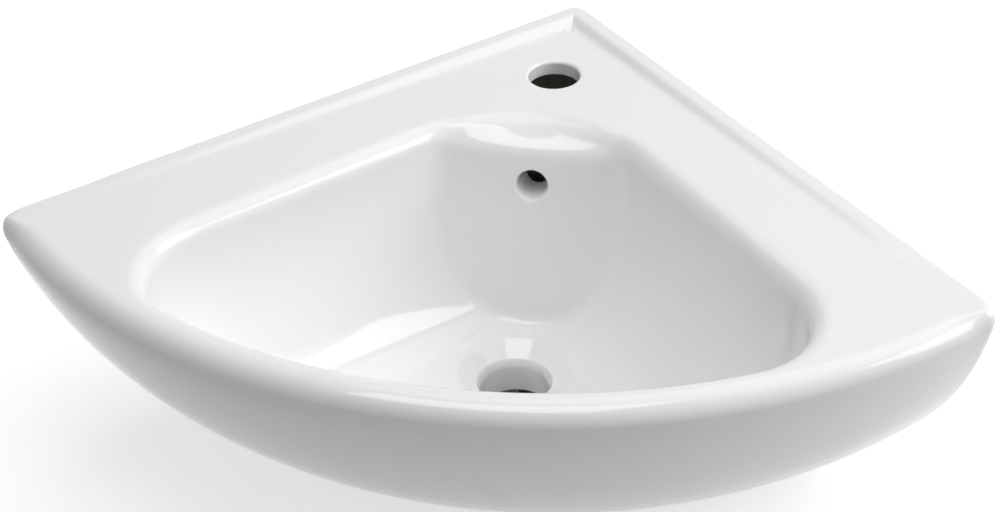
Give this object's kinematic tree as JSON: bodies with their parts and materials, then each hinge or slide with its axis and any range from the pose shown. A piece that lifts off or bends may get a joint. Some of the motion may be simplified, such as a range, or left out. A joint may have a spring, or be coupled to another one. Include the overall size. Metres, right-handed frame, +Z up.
{
  "type": "corner wash basin",
  "caption": "Glazed china wash basin for a room corner, with curved front apron, flat tap deck, sloping overflow panel and a bolt fixing in each wall.",
  "frame": {"origin": "the point where both wall planes of the room corner meet the level of the wall ledges' tops", "axes": "+X from the left rim tip to the right rim tip, -Y out of the room corner along the diagonal to the front of the rim, +Z up"},
  "size_m": [0.6364, 0.4682, 0.195],
  "materials": {
    "china": "gloss",
    "zinc_steel": "zinc plated",
    "nylon": "moulded",
    "nylon_white": "moulded"
  },
  "bodies": {
    "root": {"basin_body": "china", "hanger_bolt_left": "zinc_steel", "wall_plug_left": "nylon", "bush_left": "nylon_white", "washer_left": "zinc_steel", "nut_left": "zinc_steel", "hanger_bolt_right": "zinc_steel", "wall_plug_right": "nylon", "bush_right": "nylon_white", "washer_right": "zinc_steel", "nut_right": "zinc_steel"}
  },
  "joints": []
}
